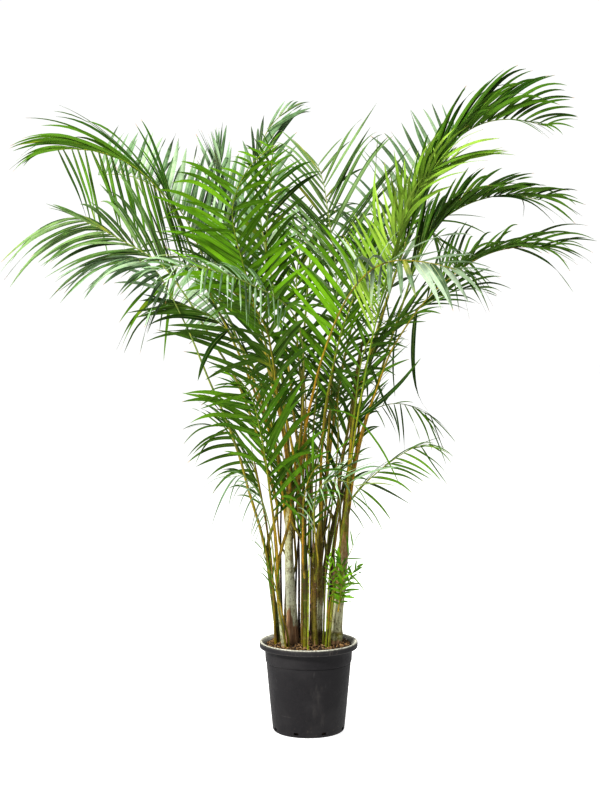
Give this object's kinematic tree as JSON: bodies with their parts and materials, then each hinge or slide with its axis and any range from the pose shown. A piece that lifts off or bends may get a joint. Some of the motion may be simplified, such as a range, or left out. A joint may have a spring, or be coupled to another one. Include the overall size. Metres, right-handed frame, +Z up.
{
  "type": "potted palm",
  "caption": "Potted areca palm: feather fronds arching from a clump of canes in a round nursery pot with soil.",
  "frame": {"origin": "middle of the pot's flat underside", "axes": "+Z up along the pot's axis; -Y is the front and +X is to the right seen from the front"},
  "size_m": [1.5918, 1.3523, 1.8424],
  "materials": {
    "pot": "charcoal moulded polypropylene with a fine matte grain, paler worn rim edge",
    "soil": "coarse brown coconut-husk chips with fibres",
    "cane": "pale ringed cane with brown mottling and dry fibre",
    "leaf_bright": "thin living leaflets, satin and slightly translucent, on a yellow-green petiole",
    "leaf_dark": "thin living leaflets, satin and slightly translucent, on a yellow-green petiole",
    "leaf_deep": "thin living leaflets, satin and slightly translucent, on a yellow-green petiole",
    "leaf_grey": "thin living leaflets, satin and slightly translucent, on a yellow-green petiole",
    "leaf_lime": "thin living leaflets, satin and slightly translucent, on a yellow-green petiole",
    "leaf_mid": "thin living leaflets, satin and slightly translucent, on a yellow-green petiole",
    "leaf_pale": "thin living leaflets, satin and slightly translucent, on a yellow-green petiole",
    "leaf_palest": "thin living leaflets, satin and slightly translucent, on a yellow-green petiole"
  },
  "bodies": {
    "root": {"pot": "pot", "soil": "soil", "cane_1": "cane", "cane_2": "cane", "cane_3": "cane", "cane_4": "cane", "cane_5": "cane", "cane_6": "cane", "cane_7": "cane", "cane_8": "cane", "cane_9": "cane", "cane_10": "cane", "cane_11": "cane", "frond_01": "leaf_dark", "frond_02": "leaf_grey", "frond_03": "leaf_pale", "frond_04": "leaf_pale", "frond_05": "leaf_deep", "frond_06": "leaf_mid", "frond_07": "leaf_deep", "frond_08": "leaf_pale", "frond_09": "leaf_bright", "frond_10": "leaf_pale", "frond_11": "leaf_pale", "frond_12": "leaf_pale", "frond_13": "leaf_pale", "frond_14": "leaf_bright", "frond_15": "leaf_dark", "frond_16": "leaf_grey", "frond_17": "leaf_bright", "frond_18": "leaf_deep", "frond_19": "leaf_mid", "frond_20": "leaf_deep", "frond_21": "leaf_dark", "frond_22": "leaf_mid", "frond_23": "leaf_pale", "frond_24": "leaf_mid", "frond_25": "leaf_mid", "frond_26": "leaf_dark", "frond_27": "leaf_lime", "frond_28": "leaf_deep", "frond_29": "leaf_grey", "frond_30": "leaf_palest", "frond_31": "leaf_deep", "frond_32": "leaf_grey", "frond_33": "leaf_grey", "frond_34": "leaf_bright", "frond_35": "leaf_mid", "frond_36": "leaf_dark", "frond_37": "leaf_mid", "frond_38": "leaf_mid", "frond_39": "leaf_dark", "frond_40": "leaf_deep", "frond_41": "leaf_grey"}
  },
  "joints": []
}
